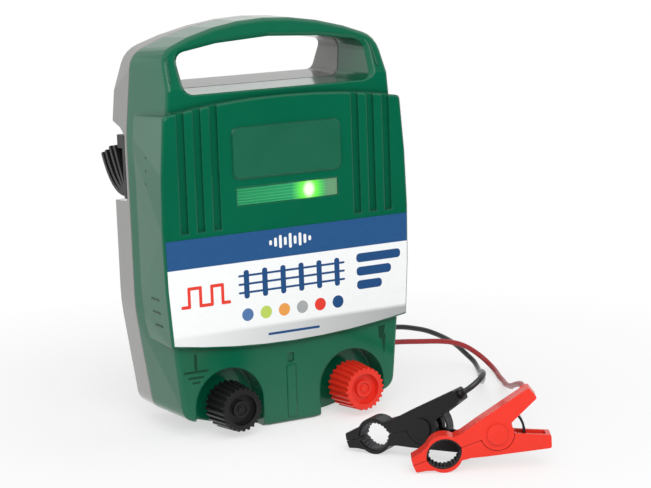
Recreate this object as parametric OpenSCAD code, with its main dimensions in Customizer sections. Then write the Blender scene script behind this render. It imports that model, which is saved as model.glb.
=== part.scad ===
// Battery fence energizer: two-part moulded casing with a carry handle, two
// screw-down terminals, an indicator window, and a pair of battery clips on leads.
// Units are millimetres, +Z is up, the front faces -Y, the part stands on Z = 0.

/* [Casing] */
// Width over the raised front panel
casing_w = 170; // [140:1:200]
// Height over the handle
casing_h = 248.7; // [225:0.1:290]
// Depth from the front panel to the rear wall
casing_d = 79; // [70:1:100]
// Depth of the front cover, panel to parting line
cover_d = 46; // [38:1:54]
// Wall thickness of both mouldings
wall = 3; // [2.4:0.1:3.6]
// Rounding of the front edges
edge_r = 2; // [1:0.5:4]
// How far the lower front stands behind the panel
lower_set = 4.5; // [2:0.5:6]
// Width of the flat that the casing stands on
base_flat = 32; // [20:1:44]
// Radius of the belly below the flat
base_r = 214; // [160:2:320]
// Radius of the handle's top arch
arch_r = 176; // [150:2:260]

/* [Front panel] */
// Height of the panel's lower edge at the middle
panel_z0 = 51.3; // [49:0.5:56]
// Distance of the panel's upper edge below the handle's top
panel_drop = 45.2; // [43.2:0.1:50]
// Width of one flute
flute_w = 5; // [3:0.5:6]
// Depth of the flutes
flute_depth = 1.9; // [0.8:0.1:2]
// Spacing of the flutes
flute_pitch = 11; // [9:0.5:12]
// Gap between the label and the flutes
flute_gap = 3.3; // [1:0.1:10]
// Gap between the window and the label
label_gap = 16.5; // [16:0.5:30]
// Thickness of the label
label_t = 0.25; // [0.15:0.05:0.4]

/* [Indicator] */
// Length of the window
window_w = 69.6; // [50:0.5:76]
// Height of the window
window_h = 10.4; // [8:0.2:12]
// Distance of the window's middle below the panel's upper edge
window_drop = 59.1; // [57.5:0.1:61.5]
// Recess of the window behind the panel
window_set = 0.9; // [0.4:0.1:1.2]
// Offset of the lamp from the middle
lamp_x = 15; // [-25:1:25]

/* [Handle] */
// Half width of the hand opening
grip_half = 65; // [58:0.5:66]
// Distance of the opening's floor below the handle's top
grip_drop = 41.2; // [37:0.1:42]
// Thickness of the grip bar
grip_t = 11; // [8:0.5:14]
// Radius of the arch under the grip bar
grip_arch_r = 330; // [200:10:500]
// Height above the opening's floor where the front starts to lean back
crease_up = 3.5; // [1.5:0.5:8]
// Lean of the handle's front, depth per height
lean_front = 0.45; // [0.2:0.01:0.55]
// Lean of the handle's back, depth per height
lean_rear = 0.5; // [0.2:0.01:0.55]

/* [Terminals] */
// Distance of a terminal from the middle
term_x = 43; // [38:0.5:46]
// Height of the terminal axis
term_z = 17.3; // [16:0.1:20]
// Radius of an alcove's arch
alcove_r = 23; // [20:0.5:24]
// Depth of an alcove behind the panel
alcove_d = 20; // [18:0.5:23]
// Radius of the terminal stud
stud_r = 4; // [3:0.5:5]
// Knob radius at the front
knob_r1 = 13.4; // [11:0.1:14]
// Knob radius at the back
knob_r2 = 14.9; // [12:0.1:15.5]
// Knob length over the fluted skirt
knob_l = 20.5; // [16:0.5:23]
// How far the knob stands ahead of the panel
knob_proud = 11.5; // [8:0.5:14]
// Number of grip flutes round a knob
knob_flutes = 24; // [16:2:30]
// Clearance of the turning fits, on the radius
run_gap = 0.05; // [0.03:0.01:0.09]

/* [Rear] */
// Distance of the lead channel's lower edge below the opening's floor
channel_drop = 68.5; // [64:0.5:71]
// Height of the lead channel
channel_h = 47; // [40:1:50]
// Depth of the channel's floor behind the panel
channel_y = 50.5; // [50:0.5:56]
// Length of a lead cleat across the casing
cleat_l = 25; // [16:1:36]
// How far the cleats stand behind the rear wall
cleat_proud = 7; // [3:0.5:10]
// Height of the upper lead exit
exit_z = 36; // [34:0.5:40]
// Spacing of the two lead exits
exit_pitch = 9.5; // [9:0.5:12]
// Depth of the exits behind the panel
exit_y = 60; // [56:1:64]
// Diameter of a lead
lead_d = 3.4; // [2.6:0.1:4]

/* [Clips] */
// Width of a clip across its cheeks
clip_w = 12; // [11:0.5:14]
// Distance from the jaw hole to the pivot
clip_reach = 32; // [30:0.5:36]
// Radius of the jaw arcs
jaw_r = 10.6; // [10:0.1:11]
// Half height of the closed jaw hole in the moulding
jaw_rise = 8.7; // [8:0.1:9]
// Radius of the jaws outside
jaw_out_r = 10.7; // [10.6:0.1:11.5]
// Radius of the pivot pin
pin_r = 3; // [2.5:0.1:3.5]
// Radius of the pivot boss
boss_r = 9.4; // [8.5:0.1:10]

/* [Hidden] */
$fn = 48;
eps = 0.05;
half_w = casing_w / 2;
grip_z0 = casing_h - grip_drop;
crease_z = grip_z0 + crease_up;
panel_z1 = casing_h - panel_drop;
window_z = panel_z1 - window_drop;
label_z1 = window_z - window_h / 2 - label_gap;
flute_z = label_z1 + flute_gap;
channel_z0 = grip_z0 - channel_drop;
panel_y = knob_proud - (knob_proud + casing_d + cleat_proud) / 2;
body_y = panel_y + lower_set;
part_y = panel_y + cover_d;
rear_y = panel_y + casing_d;
fit_gap = 0.15;
seat_gap = 0.02;

green = [0.01, 0.32, 0.22];
grey = [0.62, 0.62, 0.62];
black = [0.07, 0.07, 0.07];
red = [0.85, 0.1, 0.06];
steel = [0.75, 0.75, 0.77];
brass = [0.8, 0.62, 0.25];

// Plane outlines, as points [x, z] or [x, z, radius, steps]

function unit(v) = v / norm(v);
function corner(a, b, c, r, n) =
    let (u = unit(a - b), w = unit(c - b), half = acos(u * w) / 2)
    let (o = b + unit(u + w) * r / sin(half), p = b + u * r / tan(half))
    let (q = b + w * r / tan(half), a0 = atan2(p.y - o.y, p.x - o.x))
    let (turn = (atan2(q.y - o.y, q.x - o.x) - a0 + 900) % 360 - 180)
    [for (i = [0:n]) o + r * [cos(a0 + turn * i / n), sin(a0 + turn * i / n)]];
function xy(p) = [p[0], p[1]];
function rounded(pts) = let (k = len(pts)) [
    for (i = [0:k - 1])
        let (b = pts[i], a = pts[(i + k - 1) % k], c = pts[(i + 1) % k])
        each (len(b) > 2 ? corner(xy(a), xy(b), xy(c), b[2], b[3]) : [xy(b)])];
function mirrored(pts) = [
    for (i = [len(pts) - 1:-1:0])
        let (p = pts[i])
        len(p) > 2 ? [-p[0], p[1], p[2], p[3]] : [-p[0], p[1]]];

function belly_z(x) = max(0, (x * x - pow(base_flat / 2, 2)) / (2 * base_r));
function arch_z(x) = casing_h - x * x / (2 * arch_r);

waist_z = 76;
shoulder_z = casing_h - 66.7;
corner_r = 9;
crown_r = 13;

// Casing outline from its half widths at the foot, waist, shoulder and crown
function casing_side(foot, waist, shoulder, crown) = concat(
    [for (x = [base_flat / 2, base_flat / 2 + 17, base_flat / 2 + 34]) [x, belly_z(x)]],
    [[foot, belly_z(foot), corner_r, 4], [waist, waist_z, 120, 2]],
    [[shoulder, shoulder_z, 120, 2], [crown, arch_z(crown), crown_r, 4]],
    [for (k = [0.72, 0.48, 0.24]) [crown * k, arch_z(crown * k)]]);
function casing_outline(side) = rounded(concat(side, [[0, casing_h]], mirrored(side)));
foot_in = 11.2;
waist_in = 4.6;
shoulder_in = 6.8;
crown_in = 11;
front_side = casing_side(half_w - foot_in, half_w - waist_in, half_w - shoulder_in,
    half_w - crown_in);
part_side = casing_side(half_w - foot_in + 1.2, half_w - 0.8, half_w - 0.5, half_w - 5.6);
rear_taper = 3.4;
rear_side = casing_side(half_w - foot_in + 1.2 - rear_taper, half_w - 0.8 - rear_taper,
    half_w - 0.5 - rear_taper, half_w - 5.6 - rear_taper);

// Raised panel: two long arcs, and sides that bulge to the full width
panel_mid_z = (panel_z0 + panel_z1) / 2 - 2.4;
side_bulge_r = 721;
panel_arc_r = 480;
function panel_half(z) = half_w - pow(z - panel_mid_z, 2) / (2 * side_bulge_r);
panel_foot_x = panel_half(panel_z0 + 7);
panel_top_x = panel_half(panel_z1 - 7);
function panel_low(x) = panel_z0 + x * x / (2 * panel_arc_r);
function panel_high(x) = panel_z1 - x * x / (2 * panel_arc_r);
panel_half_pts = concat(
    [for (k = [0.25, 0.5, 0.75, 1]) [k * panel_foot_x, panel_low(k * panel_foot_x)]],
    [for (k = [0.25, 0.5, 0.75])
        let (z = panel_low(panel_foot_x) * (1 - k) + panel_high(panel_top_x) * k)
        [panel_half(z), z]],
    [[panel_top_x, panel_high(panel_top_x), 3, 3]],
    [for (k = [0.75, 0.5, 0.25]) [k * panel_top_x, panel_high(k * panel_top_x)]]);
panel_pts = rounded(concat([[0, panel_z0]], panel_half_pts, [[0, panel_z1]],
    mirrored(panel_half_pts)));

// Hand opening
function grip_top(x) = casing_h - grip_t - x * x / (2 * grip_arch_r);
grip_side = [[grip_half - 1.4, grip_z0, 6, 4],
    [grip_half, grip_top(grip_half), 7, 4],
    [grip_half * 0.55, grip_top(grip_half * 0.55)]];
grip_pts = rounded(concat(grip_side, [[0, grip_top(0)]], mirrored(grip_side)));

// Screw places, on both halves
screw_x_low = half_w - 17.5;
screw_x_mid = half_w - 9.5;
screw_x_top = half_w - 14.5;
screw_places = [
    for (s = [-1, 1]) each [[s * screw_x_low, 27], [s * screw_x_mid, channel_z0 - 21],
        [s * screw_x_top, grip_z0 - 10.5]]];
screw_r = 1.9;
screw_head_r = 3.6;
screw_head_h = 2.6;
screw_seat = 4;
screw_bite = 14;
boss_out_r = 4.6;
post_out_r = 5.6;
bore_gap = 0.1;

// Moves from the plane of an outline into the part

module slice(y) {
    translate([0, y, 0])
        rotate([90, 0, 0])
            linear_extrude(eps)
                children();
}
module along_y(y0, y1) {
    translate([0, y1, 0])
        rotate([90, 0, 0])
            linear_extrude(y1 - y0)
                children();
}
module along_x(x0, x1) {
    translate([x0, 0, 0])
        rotate([90, 0, 90])
            linear_extrude(x1 - x0)
                children();
}
module rod_y(r, y0, y1) {
    translate([0, y1, 0])
        rotate([90, 0, 0])
            cylinder(r = r, h = y1 - y0);
}
module leaning(rate, z) {
    multmatrix([[1, 0, 0, 0], [0, 1, rate, -rate * z], [0, 0, 1, 0], [0, 0, 0, 1]])
        children();
}
module below(z) {
    intersection() {
        children();
        translate([-casing_w, -casing_h])
            square([2 * casing_w, z + casing_h]);
    }
}
module above(z) {
    intersection() {
        children();
        translate([-casing_w, z])
            square([2 * casing_w, casing_h]);
    }
}
module pts2d(side) {
    polygon(casing_outline(side));
}

// Casing forms; t is how far inside the outer faces they lie

// outer form of the cover: upright below the crease, leaning back above it
module cover_form(e) {
    hull() {
        for (k = [0, 0.3, 1])
            slice(body_y + k * e)
                below(crease_z) offset(delta = -e * (1 - k) * (1 - k)) pts2d(front_side);
        leaning(lean_front, crease_z)
            for (k = [0, 0.3, 1])
                slice(body_y + k * e)
                    above(crease_z + 1) offset(delta = -e * (1 - k) * (1 - k)) pts2d(front_side);
        slice(part_y)
            pts2d(part_side);
    }
}
// hollow of the cover, narrower towards the front so that it leaves its mould
room_draft = 1;
module cover_room(t) {
    hull() {
        slice(body_y + t)
            below(cavity_top) offset(delta = -t - room_draft) pts2d(front_side);
        slice(part_y + 1)
            below(cavity_top) offset(delta = -t) pts2d(part_side);
    }
}
// raised panel, whose sides run back and sink into the sides of the cover near the parting plane
panel_sink = 1;
panel_run = 9;
panel_edge = 1.2;
panel_room_in = 10;
module panel_form(e) {
    hull() {
        slice(panel_y + eps)
            offset(delta = -e) polygon(panel_pts);
        slice(panel_y + e + eps)
            polygon(panel_pts);
        slice(part_y - 5)
            above(panel_z0 + panel_run) below(panel_z1 - panel_run)
                offset(delta = -panel_sink) pts2d(part_side);
    }
}
rear_edge = 5;
rear_crease_z = grip_z0 - 0.5;
module rear_low(e) {
    hull() {
        slice(part_y + eps)
            below(rear_crease_z + eps) pts2d(part_side);
        for (k = [1, 0.3, 0])
            slice(rear_y - k * e)
                below(rear_crease_z + eps) offset(delta = -e * (1 - k) * (1 - k)) pts2d(rear_side);
    }
}
module rear_top(e) {
    hull() {
        slice(part_y + eps)
            above(rear_crease_z) pts2d(part_side);
        leaning(-lean_rear, rear_crease_z)
            for (k = [1, 0.3, 0])
                slice(rear_y - k * e)
                    above(rear_crease_z) offset(delta = -e * (1 - k) * (1 - k)) pts2d(rear_side);
    }
}
module rear_room(t) {
    hull() {
        slice(part_y)
            below(cavity_top) offset(delta = -t) pts2d(part_side);
        slice(rear_y - t)
            below(cavity_top) offset(delta = -t) pts2d(rear_side);
    }
}
grip_front_r = 2.6;
grip_rear_r = 2.5;
grip_rear_in = 3;
module grip_cut() {
    along_y(panel_y - 5, rear_y + 5)
        polygon(grip_pts);
    leaning(lean_front, crease_z)
        hull() {
            slice(body_y - eps)
                offset(r = grip_front_r) polygon(grip_pts);
            slice(body_y + 0.35 * grip_front_r)
                offset(r = 0.3 * grip_front_r) polygon(grip_pts);
            slice(body_y + grip_front_r)
                polygon(grip_pts);
        }
}
// the rear half of the opening draws in a little towards the back
module grip_cut_rear() {
    hull() {
        slice(part_y - 1)
            polygon(grip_pts);
        slice(rear_y + 5)
            offset(delta = -grip_rear_in) polygon(grip_pts);
    }
    leaning(-lean_rear, rear_crease_z)
        hull() {
            slice(rear_y + 2 * eps)
                offset(r = grip_rear_r - grip_rear_in) polygon(grip_pts);
            slice(rear_y - 0.35 * grip_rear_r)
                offset(delta = 0.3 * grip_rear_r - grip_rear_in) polygon(grip_pts);
            slice(rear_y - grip_rear_r)
                offset(delta = -grip_rear_in) polygon(grip_pts);
        }
}
cavity_top = grip_z0 - wall;

module alcove(r, y0, y1, z0) {
    for (s = [-1, 1])
        translate([s * term_x, 0, 0]) {
            translate([0, 0, term_z])
                rod_y(r, y0, y1);
            translate([-r, y0, z0])
                cube([2 * r, y1 - y0, term_z - z0]);
        }
}

// Circuit board and its posts, measured from the panel

board_y = panel_y + 16;
board_t = 1.6;
board_w = 112;
board_z0 = panel_z0 + 10.7;
board_z1 = panel_z1 - 17.5;
board_post_x = board_w / 2 - 7;
board_posts = [for (s = [-1, 1], z = [board_z0 + 7, board_z1 - 7]) [s * board_post_x, z]];
post_r = 4;
board_screw_r = 1.4;
board_screw_l = 8;
window_ledge = 1.2;
window_t = 2.1;

module window_outline(grow) {
    offset(delta = grow)
        translate([-window_w / 2, window_z - window_h / 2])
            square([window_w, window_h]);
}

plate_w = 74;
plate_z0 = window_z + window_h / 2 + 5.9;
plate_z1 = panel_z1 - 17.5;
plate_t = 0.8;
module plate_outline() {
    polygon(rounded([[-plate_w / 2, plate_z0, 4, 4], [plate_w / 2, plate_z0, 4, 4],
        [plate_w / 2, plate_z1, 4, 4], [-plate_w / 2, plate_z1, 4, 4]]));
}

module flutes() {
    for (s = [-1, 1], k = [-1, 0, 1]) {
        x = s * (half_w - 25.5 + k * flute_pitch);
        translate([x - flute_w / 2, panel_y - 1, flute_z])
            cube([flute_w, 1 + flute_depth, panel_z1]);
    }
}

term_boss_r = 9.5;
term_boss_h = 1;
recess_w = 4.4;
recess_h = 6;
recess_z = 41;

module front_cover() {
    color(green)
        difference() {
            union() {
                cover_form(edge_r);
                panel_form(panel_edge);
                along_y(panel_y - plate_t, panel_y + 1)
                    plate_outline();
            }
            // hollow, with the alcoves, bosses and posts left standing
            difference() {
                union() {
                    cover_room(wall);
                    along_y(panel_y + wall, body_y + wall + 1)
                        offset(delta = -panel_room_in) polygon(panel_pts);
                }
                alcove(alcove_r + wall, body_y, panel_y + alcove_d + wall, -5);
                for (p = screw_places)
                    translate([p.x, 0, p.y])
                        rod_y(boss_out_r, panel_y, part_y + 1);
                for (p = board_posts)
                    translate([p.x, 0, p.y])
                        rod_y(post_r, panel_y, board_y);
                along_y(panel_y, panel_y + window_set + window_t + window_ledge)
                    window_outline(2.5);
            }
            grip_cut();
            alcove(alcove_r, panel_y - 5, panel_y + alcove_d, -5);
            for (s = [-1, 1])
                translate([s * term_x, 0, term_z])
                    rod_y(stud_r + fit_gap, panel_y, part_y);
            flutes();
            along_y(panel_y - 2, panel_y + window_set + window_t)
                window_outline(fit_gap);
            along_y(panel_y - 2, panel_y + 10)
                window_outline(-window_ledge);
            for (p = screw_places)
                translate([p.x, 0, p.y])
                    rod_y(screw_r + bore_gap, part_y - screw_bite - 2, part_y + 1);
            for (p = board_posts)
                translate([p.x, 0, p.y])
                    rod_y(board_screw_r + bore_gap, board_y - board_screw_l - 1, board_y + 1);
            translate([0, 0, recess_z])
                along_y(panel_y, body_y + 1.2)
                    polygon(rounded([[-recess_w / 2, -recess_h / 2, 1, 3],
                        [recess_w / 2, -recess_h / 2, 1, 3],
                        [recess_w / 2, recess_h / 2, 1, 3], [-recess_w / 2, recess_h / 2, 1, 3]]));
        }
}

// Lead channel across the back, as [depth behind the panel, height]
channel_z1 = channel_z0 + channel_h;
channel_side = [[channel_y, channel_z0 + 2.5, 3, 3], [casing_d + 12, channel_z0 - 1],
    [casing_d + 12, channel_z1 + 5.5], [channel_y + 9, channel_z1, 4, 3],
    [channel_y, channel_z1 - 4, 3, 3]];
module channel(grow, reach) {
    translate([0, panel_y, 0])
        along_x(-reach, reach)
            offset(delta = grow)
                polygon(rounded(channel_side));
}

// Capacitor cradle and transformer bosses inside the rear wall
cap_r = 16;
cap_l = 54;
cap_x = -42;
cap_z0 = 52;
cap_y = rear_y - wall - cap_r - 2;
core_w = 52;
core_h = 44;
core_t = 18;
core_x = 26;
core_z0 = 60;
core_y1 = rear_y - wall - 5;
core_leg = 9;
tab_t = 2;
tab_l = 8;
core_screws = [for (s = [-1, 1]) [core_x + s * (core_w / 2 + tab_l / 2), core_z0 + core_h / 2]];

seal_w = 1.2;
seal_t = 1.4;
seal_in = 0.9;
module seal_line(grow) {
    difference() {
        offset(delta = -seal_in + grow)
            pts2d(part_side);
        offset(delta = -seal_in - seal_w - grow)
            pts2d(part_side);
    }
    difference() {
        offset(delta = seal_in + seal_w + grow)
            polygon(grip_pts);
        offset(delta = seal_in - grow)
            polygon(grip_pts);
    }
}

// Switch and lead exits in the right-hand wall of the rear casing
switch_z = 60;
switch_y = panel_y + 62;
switch_w = 13;
switch_h = 19;
switch_rim = 1.2;
switch_face = half_w - 4.6;
exit_r = 2.9;
exit_face = half_w - 7.4;
exit_places = [for (k = [0, 1]) [panel_y + exit_y, exit_z - k * exit_pitch]];

module rear_casing() {
    color(grey)
        difference() {
            union() {
                difference() {
                    union() {
                        rear_low(rear_edge);
                        rear_top(rear_edge);
                    }
                    difference() {
                        rear_room(wall);
                        channel(wall, half_w + 5);
                        for (p = screw_places)
                            translate([p.x, 0, p.y])
                                rod_y(post_out_r, part_y - 1, rear_y);
                        for (p = core_screws)
                            translate([p.x, 0, p.y])
                                rod_y(post_r, core_y1 - tab_t, rear_y);
                        for (z = [cap_z0 + 12, cap_z0 + cap_l - 12])
                            translate([cap_x - cap_r, cap_y - 2, z - 1.5])
                                cube([2 * cap_r, cap_r + 10, 3]);
                    }
                }
                // flat pads that the switch and the lead exits seat on
                intersection() {
                    translate([half_w - 14, switch_y - switch_w / 2 - 3, switch_z - switch_h / 2 - 3])
                        cube([14 + switch_face - half_w, switch_w + 6, switch_h + 6]);
                    rear_room(-6);
                }
                translate([half_w - 16, panel_y + exit_y - 7, exit_z - exit_pitch - 7])
                    cube([16 + exit_face - half_w, 14, exit_pitch + 14]);
            }
            channel(0, half_w + 5);
            grip_cut_rear();
            along_y(part_y, part_y + seal_t)
                seal_line(0.05);
            for (p = screw_places)
                translate([p.x, 0, p.y]) {
                    rod_y(screw_r + 0.3, part_y - 1, rear_y + 1);
                    rod_y(screw_head_r + 0.4, part_y + screw_seat, rear_y + 1);
                }
            for (p = core_screws)
                translate([p.x, 0, p.y])
                    rod_y(board_screw_r + bore_gap, core_y1 - 4, rear_y - wall + 1);
            translate([cap_x, cap_y, cap_z0])
                cylinder(r = cap_r + fit_gap, h = cap_l);
            translate([switch_face, switch_y - switch_w / 2 - 3, switch_z - switch_h / 2 - 3])
                cube([20, switch_w + 6, switch_h + 6]);
            translate([half_w - 30, switch_y - switch_w / 2 - fit_gap, switch_z - switch_h / 2 - fit_gap])
                cube([40, switch_w + 2 * fit_gap, switch_h + 2 * fit_gap]);
            for (p = exit_places)
                translate([half_w - 30, p.x, p.y])
                    rotate([0, 90, 0])
                        cylinder(r = exit_r, h = 60);
            for (s = [-1, 1], z = cleat_screw_z)
                translate([s * cleat_screw_x, 0, z])
                    rod_y(board_screw_r + bore_gap, panel_y + channel_y - 2, panel_y + channel_y + 1);
        }
}

module casing_seal() {
    color(black)
        along_y(part_y, part_y + seal_t)
            seal_line(0);
}

module casing_screws() {
    color(steel)
        for (p = screw_places)
            translate([p.x, 0, p.y])
                difference() {
                    union() {
                        rod_y(screw_r, part_y - screw_bite, part_y + screw_seat + 1);
                        rod_y(screw_head_r, part_y + screw_seat, part_y + screw_seat + screw_head_h);
                    }
                    for (a = [0, 90])
                        rotate([0, a, 0])
                            translate([-2.2, part_y + screw_seat + 1.2, -0.4])
                                cube([4.4, 3, 0.8]);
                }
}

window_ribs = 7;
module indicator_window() {
    window_y = panel_y + window_set;
    pitch = window_h / window_ribs;
    color([0.2, 0.6, 0.2])
        union() {
            along_y(window_y + 0.5, window_y + window_t)
                window_outline(0);
            for (i = [0:window_ribs - 1])
                translate([-window_w / 2, window_y, window_z - window_h / 2 + pitch * (i + 0.2)])
                    cube([window_w, 1, pitch * 0.6]);
        }
}

lamp_r = 2.5;
module indicator_lamp() {
    lens_y = panel_y + window_set + window_t + 2;
    color([0.5, 1, 0.3])
        translate([lamp_x, 0, window_z]) {
            rod_y(lamp_r, lens_y + lamp_r, board_y);
            translate([0, lens_y + lamp_r, 0])
                sphere(r = lamp_r, $fn = 24);
            rod_y(lamp_r + 0.5, board_y - 1.2, board_y);
        }
}

module front_label() {
    color([0.93, 0.94, 0.95])
        along_y(panel_y - label_t, panel_y)
            below(label_z1)
                offset(delta = -1.4)
                    polygon(panel_pts);
}

module circuit_board() {
    color([0.1, 0.35, 0.15])
        difference() {
            translate([-board_w / 2, board_y, board_z0])
                cube([board_w, board_t, board_z1 - board_z0]);
            for (p = board_posts)
                translate([p.x, 0, p.y])
                    rod_y(board_screw_r + bore_gap, board_y - 1, board_y + board_t + 1);
        }
}

module small_screw(seat_y) {
    rod_y(board_screw_r, seat_y - board_screw_l + 2, seat_y + 0.5);
    rod_y(2.7, seat_y, seat_y + 2);
}

module inner_screws() {
    color(steel) {
        for (p = board_posts)
            translate([p.x, 0, p.y])
                small_screw(board_y + board_t);
        for (p = core_screws)
            translate([p.x, 0, p.y]) {
                rod_y(board_screw_r, core_y1 - 2 * tab_t - 0.5, core_y1 - tab_t + 3);
                rod_y(2.7, core_y1 - 2 * tab_t - 2, core_y1 - 2 * tab_t);
            }
    }
}

module transformer_core() {
    color([0.35, 0.35, 0.37])
        difference() {
            union() {
                translate([core_x - core_w / 2, core_y1 - core_t, core_z0])
                    cube([core_w, core_t, core_h]);
                translate([core_x - core_w / 2 - tab_l, core_y1 - 2 * tab_t, core_z0 + core_h / 2 - 5])
                    cube([core_w + 2 * tab_l, tab_t, 10]);
            }
            for (s = [-1, 1])
                translate([core_x + s * core_w / 4 - (core_w - 4 * core_leg) / 4 - eps,
                    core_y1 - core_t - 1, core_z0 + core_leg])
                    cube([(core_w - 4 * core_leg) / 2, core_t + 2, core_h - 2 * core_leg]);
            for (p = core_screws)
                translate([p.x, 0, p.y])
                    rod_y(board_screw_r + bore_gap, core_y1 - 3 * tab_t, core_y1);
        }
}

module transformer_winding() {
    room = (core_w - 4 * core_leg) / 2;
    leg = core_leg + room - fit_gap;
    color([0.72, 0.4, 0.15])
        difference() {
            translate([core_x, core_y1 - core_t / 2, core_z0 + core_leg + fit_gap])
                linear_extrude(core_h - 2 * core_leg - 2 * fit_gap)
                    polygon(rounded([[-leg, -core_t / 2 - 7, 5, 4], [leg, -core_t / 2 - 7, 5, 4],
                        [leg, core_t / 2 + 4, 4, 4], [-leg, core_t / 2 + 4, 4, 4]]));
            translate([core_x - core_w / 4 + room / 2 - fit_gap, core_y1 - core_t - fit_gap, core_z0])
                cube([core_w / 2 - room + 2 * fit_gap, core_t + 2 * fit_gap, core_h]);
        }
}

module storage_capacitor() {
    color([0.2, 0.22, 0.3])
        translate([cap_x, cap_y, cap_z0]) {
            cylinder(r = cap_r, h = cap_l);
            for (s = [-1, 1])
                translate([s * 5, 0, cap_l - eps])
                    cylinder(r = 1.5, h = 6);
        }
}

// Terminals, built about their own axis; y runs back from the panel

wall_face = panel_y + alcove_d;
nut_t = 4;
washer_t = 1.5;
knob_front = panel_y - knob_proud;
knob_back = knob_front + knob_l;
nut_af = 13;
washer_y = wall_face - nut_t - 0.2 - washer_t;
hub_back = washer_y - 0.2;
hub_r = 8.6;
insert_r = 6;
insert_l = 12;
knob_recess_r = 9.6;
knob_recess_d = 4;
knob_ring_r = 5.2;
knob_ring_set = 1.6;
knob_dot_r = 1.8;
stud_front = knob_front + knob_recess_d + 5;
stud_tail = 12;
stud_head_r = 8;
stud_head_h = 3;

module at_terminal(s) {
    translate([s * term_x, 0, term_z])
        children();
}
module terminal_stud(s) {
    at_terminal(s) {
        rod_y(stud_r, stud_front, wall_face + wall + stud_tail);
        rod_y(stud_head_r, wall_face + wall, wall_face + wall + stud_head_h);
    }
}
module earth_stud() {
    color(steel)
        terminal_stud(-1);
}
module fence_stud() {
    color(steel)
        terminal_stud(1);
}
module terminal_nuts() {
    color(steel)
        for (s = [-1, 1])
            at_terminal(s)
                difference() {
                    translate([0, wall_face, 0])
                        rotate([90, 0, 0])
                            cylinder(r = nut_af / 2 / cos(30), h = nut_t, $fn = 6);
                    rod_y(stud_r + seat_gap, wall_face - nut_t - 1, wall_face + 1);
                }
}
module clamp_washer(s) {
    at_terminal(s)
        difference() {
            rod_y(hub_r - 0.4, washer_y, washer_y + washer_t);
            rod_y(stud_r + 2 * run_gap, washer_y - 1, washer_y + washer_t + 1);
        }
}
module earth_washer() {
    color(steel)
        clamp_washer(-1);
}
module fence_washer() {
    color(steel)
        clamp_washer(1);
}

// Grip outline of a knob at its back; the skirt tapers to the front
function knob_pts(r, n) = [
    for (i = [0:n - 1], k = [0:3])
        let (a = 360 * (i + [0, 0.3, 0.5, 0.8][k]) / n, q = r - [0, 0, 1.3, 1.3][k])
        [q * cos(a), q * sin(a)]];
module knob_form(s) {
    at_terminal(s)
        difference() {
            union() {
                translate([0, knob_back, 0])
                    rotate([90, 0, 0])
                        linear_extrude(knob_l, scale = knob_r1 / knob_r2)
                            polygon(knob_pts(knob_r2, knob_flutes));
                rod_y(hub_r, knob_back - 1, hub_back);
            }
            rod_y(knob_recess_r, knob_front - 1, knob_front + knob_recess_d);
            rod_y(insert_r + seat_gap, hub_back - insert_l, hub_back + 1);
            rod_y(stud_r + 0.5, stud_front - 2, hub_back);
        }
    at_terminal(s)
        difference() {
            rod_y(knob_ring_r, knob_front + knob_ring_set, knob_front + knob_recess_d + 0.5);
            difference() {
                rod_y(knob_ring_r - 1.3, knob_front, knob_front + knob_ring_set + 1.1);
                rod_y(knob_dot_r, knob_front, knob_front + knob_recess_d);
            }
        }
}
module earth_knob() {
    color(black)
        knob_form(-1);
}
module fence_knob() {
    color(red)
        knob_form(1);
}
module knob_insert(s) {
    at_terminal(s)
        difference() {
            rod_y(insert_r, hub_back - insert_l, hub_back);
            rod_y(stud_r + run_gap, hub_back - insert_l - 1, hub_back + 1);
        }
}
module earth_insert() {
    color(brass)
        knob_insert(-1);
}
module fence_insert() {
    color(brass)
        knob_insert(1);
}

// Lead cleats: leaves that fan out of a foot, as [depth behind panel, height]

function bend(a, b, c, t) = a * pow(1 - t, 2) + b * 2 * t * (1 - t) + c * t * t;
function leaf(a, b, c, t) =
    let (n = 8, pts = [for (i = [0:n]) bend(a, b, c, i / n)])
    let (dirs = [for (i = [0:n]) unit(bend(a, b, c, i / n + 0.01) - bend(a, b, c, i / n - 0.01))])
    concat([for (i = [0:n]) pts[i] + [-dirs[i].y, dirs[i].x] * t / 2],
        [for (i = [n:-1:0]) pts[i] - [-dirs[i].y, dirs[i].x] * t / 2]);
cleat_foot = 3.2;
cleat_y = channel_y + 0.2;
cleat_z0 = channel_z0 + 4;
cleat_z1 = channel_z1 - 4.5;
cleat_tip = casing_d + cleat_proud;
leaf_t = 2.4;
cleat_root = [cleat_y + 2, cleat_z0 + 2.5];
cleat_screw_x = half_w - cleat_l / 2 - 1;
cleat_screw_z = [cleat_z0 + 17, cleat_z1 - 4];
cleat_leaves = [
    leaf(cleat_root, [cleat_y + 22, cleat_z0 + 1.5], [cleat_tip - 1.1, cleat_z0 + 25], leaf_t),
    leaf(cleat_root + [0, 1], [cleat_y + 18, cleat_z0 + 6], [cleat_tip - 6.5, cleat_z0 + 27], leaf_t),
    leaf(cleat_root + [0, 2], [cleat_y + 12, cleat_z0 + 10], [cleat_tip - 13, cleat_z0 + 30], leaf_t),
    leaf(cleat_root + [0, 3], [cleat_y + 7, cleat_z0 + 14], [cleat_tip - 19.5, cleat_z0 + 31], leaf_t)];
module cleat_at(s) {
    x0 = s > 0 ? half_w - 1 - cleat_l : -half_w + 1;
    difference() {
        union() {
            translate([x0, panel_y + cleat_y, cleat_z0])
                cube([cleat_l, cleat_foot, cleat_z1 - cleat_z0]);
            translate([x0, panel_y + cleat_y, cleat_z1 - 8])
                cube([cleat_l, cleat_foot + 7, 8]);
            for (l = cleat_leaves)
                translate([0, panel_y, 0])
                    along_x(x0, x0 + cleat_l)
                        polygon(l);
        }
        for (z = cleat_screw_z)
            translate([s * cleat_screw_x, 0, z]) {
                rod_y(board_screw_r + bore_gap, panel_y, rear_y);
                rod_y(3.2, panel_y + cleat_y + cleat_foot, rear_y + cleat_proud + 1);
            }
    }
}
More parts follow.
